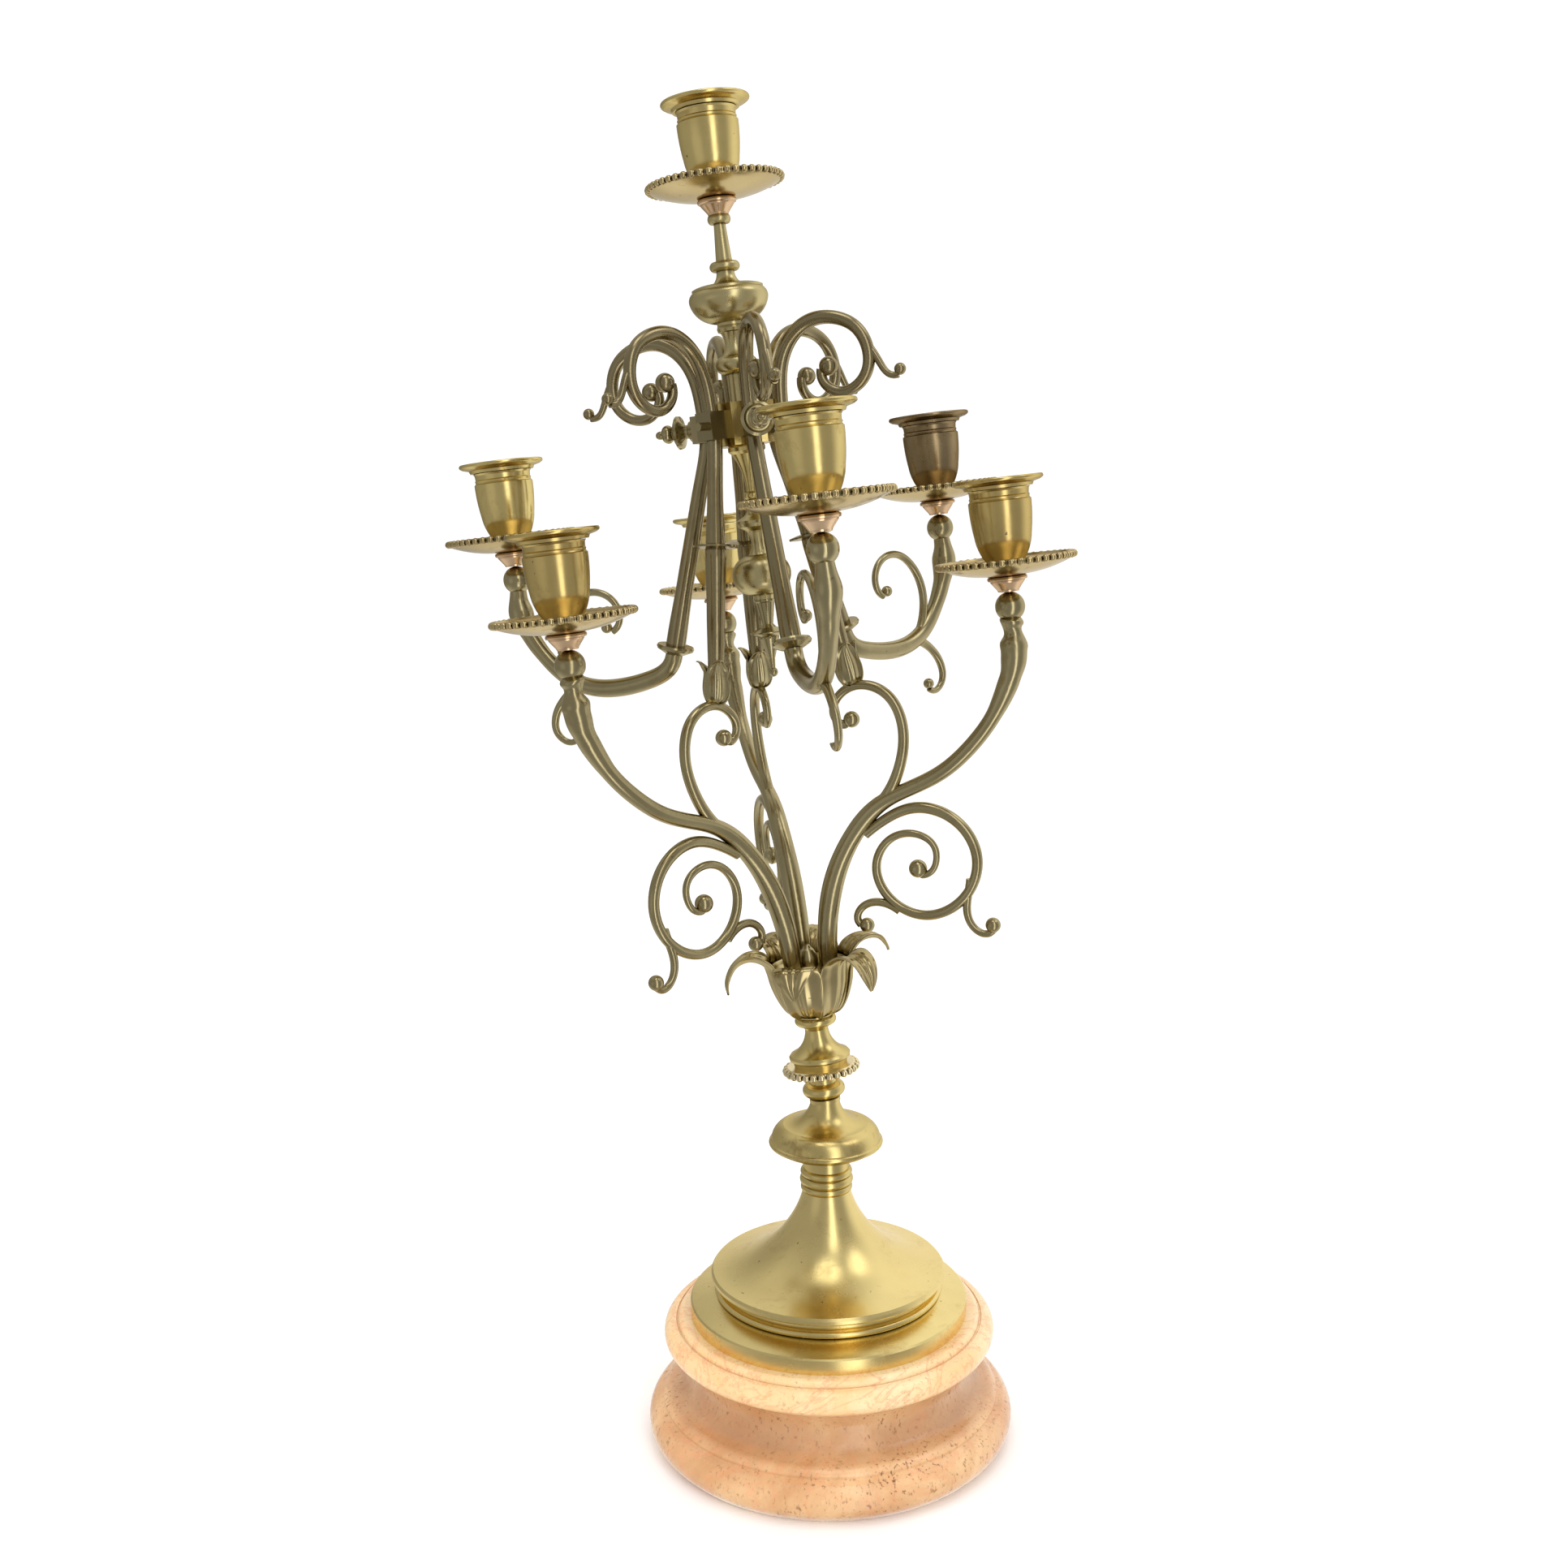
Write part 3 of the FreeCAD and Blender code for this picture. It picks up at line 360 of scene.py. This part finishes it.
def leaf_cup():
    """The calyx: a fluted bowl under six leaves that curl over its rim, no two alike."""
    bowl = [(3, 0.2), (9.2, 0.2), (12, 2.2), (15.4, 8), (18.2, 16.4), (19.4, 23), (19.8, 26.6),
            (18.9, 27), (17.6, 25), (16.4, 22.2), (3, 22.2)]
    sheets = [lathe_rows(bowl)]
    calyx = [(9.4, 0.4, 5.4), (14, 2.8, 8), (17.6, 8.6, 10.6), (20.4, 16.6, 12.8), (21.8, 24.2, 13.2)]
    # One row to a leaf: its bearing, its free part out to the tip, its fold and its waves.
    tips = (
        (0, [(23.6, 29.6, 11), (29.4, 33.4, 8.6), (36.2, 33.2, 5.6), (40.2, 28.6, 2.2),
             (41, 26, 0.3)], 0.5, 1),
        (60, [(23.2, 30.6, 11), (27.4, 34.4, 9), (33, 35.4, 6.4), (37, 32.6, 2.8),
              (38, 30.4, 0.4)], 0.4, -1),
        (120, [(23.4, 30, 11), (28.6, 33.8, 8.6), (34.8, 33.8, 5.4), (39, 30, 2.2),
               (39.6, 27.6, 0.3)], 0.5, 1),
        (178, [(23.8, 29, 11), (30, 31.6, 7.4), (36.6, 29.4, 4.4), (41, 22.4, 2.4),
               (41.6, 16.6, 0.3)], 0.7, -1),
        (240, [(23.6, 28.2, 11.6), (27.2, 29, 10.6), (29.6, 25, 7.8), (29.4, 19.4, 3.8),
               (28.6, 15.4, 0.4)], 0.2, 1),
        (304, [(24, 29, 12), (30.4, 31.4, 11), (36.4, 28.4, 8.4), (39.4, 21.4, 4.4),
               (39.4, 15.8, 0.5)], 0.35, 1),
    )
    for bearing, tip, fold, waves in tips:
        sheets.append(petal(calyx + tip, bearing, fold, waves))
    piece = sheets_to_mesh("leaf_cup_leaves", sheets, LEAN @ Matrix.Translation((0, 0, LEAF_CUP_FOOT)))
    thicken(piece, 0.0011)
    piece.data.materials.append(LEAF)
    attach(piece, "stand")
    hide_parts("leaf_cup")


def tulips():
    """Three-petalled sockets that the straight rods stand in."""
    cup = [(0.4, 0, 1.2), (3.2, 0.4, 4.4), (5.6, 3, 7.4), (6.5, 7, 8.2), (6.4, 11, 8), (6.1, 14.6, 6.6),
           (6.8, 17.6, 4.4), (8.4, 19.8, 2.2), (9.8, 20, 0.3)]
    tip_in = Matrix.Rotation(math.radians(TULIP_TIP), 4, "Y")
    for number, bearing in enumerate(LOWER_BEARINGS, start=1):
        sheets = [lathe_rows([(0, 0.3), (2.6, 0.5), (4.6, 2), (5.7, 5), (5.9, 9), (5.5, 13), (4.7, 13),
                              (4.6, 6.4), (0, 6.4)], 40)]
        sheets += [petal(cup, 120 * k + 60, 0.1, 0.5, 26, 15) for k in range(3)]
        turn = Matrix.Rotation(math.radians(bearing), 4, "Z")
        place = LEAN @ turn @ Matrix.Translation(TULIP_FOOT) @ tip_in
        piece = sheets_to_mesh(f"tulip_petals_{number}", sheets, place)
        thicken(piece, 0.0006)
        piece.data.materials.append(AGED)
        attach(piece, "stand")
        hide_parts(f"tulip_{number}")


# ------------------------------------------------------------------ studio
def floor():
    size = 40.0
    mesh = bpy.data.meshes.new("floor")
    mesh.from_pydata([(-size, -size, 0), (size, -size, 0), (size, size, 0), (-size, size, 0)], [],
                     [(0, 1, 2, 3)])
    ground = bpy.data.objects.new("floor", mesh)
    bpy.context.collection.objects.link(ground)
    ground.visible_glossy = False
    m = Nodes("floor_white")
    m.shader.inputs["Base Color"].default_value = (0.95, 0.95, 0.95, 1)
    m.shader.inputs["Roughness"].default_value = 0.6
    m.shader.inputs["Specular IOR Level"].default_value = 0.2
    mesh.materials.append(m.material)


def surround(brightness):
    """A ball about the studio that only reflections see."""
    around, rings, reach = 48, 24, 3.0
    corners = [(0, 0, -reach)]
    for ring in range(1, rings):
        rise = math.pi * (ring / rings - 0.5)
        for step in range(around):
            turn = 2 * math.pi * step / around
            corners.append((reach * math.cos(rise) * math.cos(turn),
                            reach * math.cos(rise) * math.sin(turn),
                            reach * math.sin(rise)))
    corners.append((0, 0, reach))
    top = len(corners) - 1
    faces = [(0, 1 + (k + 1) % around, 1 + k) for k in range(around)]
    for ring in range(rings - 2):
        first = 1 + ring * around
        faces += [(first + k, first + (k + 1) % around,
                   first + around + (k + 1) % around, first + around + k) for k in range(around)]
    last = top - around
    faces += [(last + k, last + (k + 1) % around, top) for k in range(around)]
    mesh = bpy.data.meshes.new("surround")
    mesh.from_pydata(corners, [], faces)
    piece = bpy.data.objects.new("surround", mesh)
    bpy.context.collection.objects.link(piece)
    piece.location = (0, 0, 0.3)
    mesh.materials.append(brightness)
    piece.visible_camera = False
    piece.visible_shadow = False
    piece.visible_diffuse = False


def toward(bearing, rise):
    """A direction from its bearing, measured from the camera's side, and its rise."""
    turn, rise = math.radians(CAMERA_SIDE + bearing), math.radians(rise)
    return (math.cos(rise) * math.cos(turn), math.cos(rise) * math.sin(turn), math.sin(rise))


def surround_light():
    """How bright the studio is in every direction: dim towards the camera and the left, bright
    behind and to the right, with two softboxes overhead and a tall one beside the camera."""
    m = Nodes("surround_light")
    heading = m.add("ShaderNodeVectorMath", operation="NORMALIZE")
    m.link(m.place, heading.inputs[0])
    heading = heading.outputs[0]

    def facing(direction):
        node = m.add("ShaderNodeVectorMath", operation="DOT_PRODUCT")
        m.link(heading, node.inputs[0])
        node.inputs[1].default_value = direction
        return node.outputs["Value"]

    def eased(value, low, high, none, full):
        node = m.add("ShaderNodeMapRange", interpolation_type="SMOOTHSTEP")
        m.link(value, node.inputs["Value"])
        for socket, amount in (("From Min", low), ("From Max", high), ("To Min", none), ("To Max", full)):
            node.inputs[socket].default_value = amount
        return node.outputs[0]

    rise = m.add("ShaderNodeSeparateXYZ")
    m.link(heading, rise.inputs[0])
    rise = rise.outputs["Z"]
    behind = eased(facing(toward(180, 0)), -0.7, 0.9, 0.0, 1.0)
    light = eased(facing(toward(140, 0)), 0.25, 0.9, 0.38, 1.0)
    light = m.maths("ADD", light, m.maths("MULTIPLY", behind, eased(rise, 0.4, 0.8, 0.0, 0.35)))
    light = m.maths("ADD", light, m.maths("MULTIPLY", behind, eased(rise, -0.2, -0.7, 0.0, 0.6)))
    light = m.maths("MINIMUM", light, 1.05)
    light = m.maths("ADD", light, eased(facing(toward(-48, 0)), 0.9, 0.99, 0.0, 0.14))
    for direction, wide, soft, strength in SOFTBOXES:
        lobe = eased(facing(toward(*direction)), math.cos(math.radians(wide + soft)),
                     math.cos(math.radians(wide)), 0.0, strength)
        light = m.maths("ADD", light, lobe)
    # The tall softbox beside the camera: a strip in bearing, cut off high up.
    side = facing(toward(KEY_BEARING + 90, 0))
    strip = m.maths("MULTIPLY", eased(m.maths("ABSOLUTE", side), 0.2, 0.07, 0.0, 1.7),
                    eased(facing(toward(KEY_BEARING, 0)), 0.45, 0.7, 0.0, 1.0))
    light = m.maths("ADD", light, strip)
    m.shader.inputs["Base Color"].default_value = (0, 0, 0, 1)
    m.shader.inputs["Roughness"].default_value = 1.0
    m.shader.inputs["Specular IOR Level"].default_value = 0
    m.shader.inputs["Emission Color"].default_value = (1, 0.99, 0.96, 1)
    m.link(light, m.shader.inputs["Emission Strength"])
    return m.material


def softbox(name, place, aim, width, height, power):
    light = bpy.data.lights.new(name, "AREA")
    light.shape = "RECTANGLE"
    light.size = width
    light.size_y = height
    light.energy = power
    lamp = bpy.data.objects.new(name, light)
    bpy.context.collection.objects.link(lamp)
    lamp.location = place
    lamp.rotation_euler = (Vector(aim) - Vector(place)).to_track_quat("-Z", "Y").to_euler()
    lamp.visible_camera = False
    lamp.visible_glossy = False


def studio():
    """A white floor and surround, and soft lights."""
    floor()
    world = bpy.data.worlds.new("studio")
    world.use_nodes = True
    backdrop = world.node_tree.nodes["Background"]
    backdrop.inputs["Color"].default_value = (1, 1, 1, 1)
    backdrop.inputs["Strength"].default_value = 1.1
    bpy.context.scene.world = world
    middle = (0, 0, 0.3)
    softbox("key", (0.25, -1.7, 1.35), middle, 0.8, 0.8, 9)
    softbox("side", (-1.7, -0.5, 1.0), middle, 0.5, 1.3, 5)
    softbox("top", (0.1, 0.2, 2.2), middle, 1.2, 1.2, 8)
    surround(surround_light())


# ------------------------------------------------------------------ camera
def camera():
    """At the photograph's viewing angle: a little left of the front arm, looking slightly down."""
    bearing = math.radians(-13.68)
    distance, height = 0.8417, 0.4938
    pitch, yaw, roll = math.radians(10.31), math.radians(1.21), math.radians(-1.11)
    heading = bearing + yaw
    forward = Vector((-math.sin(heading) * math.cos(pitch), math.cos(heading) * math.cos(pitch),
                      -math.sin(pitch)))
    level = Vector((math.cos(heading), math.sin(heading), 0))
    upright = level.cross(forward)
    right = level * math.cos(roll) + upright * math.sin(roll)
    up = upright * math.cos(roll) - level * math.sin(roll)
    data = bpy.data.cameras.new("camera")
    data.sensor_width = 36
    data.lens = 40.07
    data.clip_start = 0.01
    view = bpy.data.objects.new("camera", data)
    bpy.context.collection.objects.link(view)
    turn = Matrix((right, up, -forward)).transposed().to_4x4()
    place = Vector((distance * math.sin(bearing), -distance * math.cos(bearing), height))
    view.matrix_world = Matrix.Translation(place) @ turn
    bpy.context.scene.camera = view
    bpy.context.scene.view_settings.view_transform = "Standard"


dress_cad()
leaf_cup()
tulips()
studio()
camera()
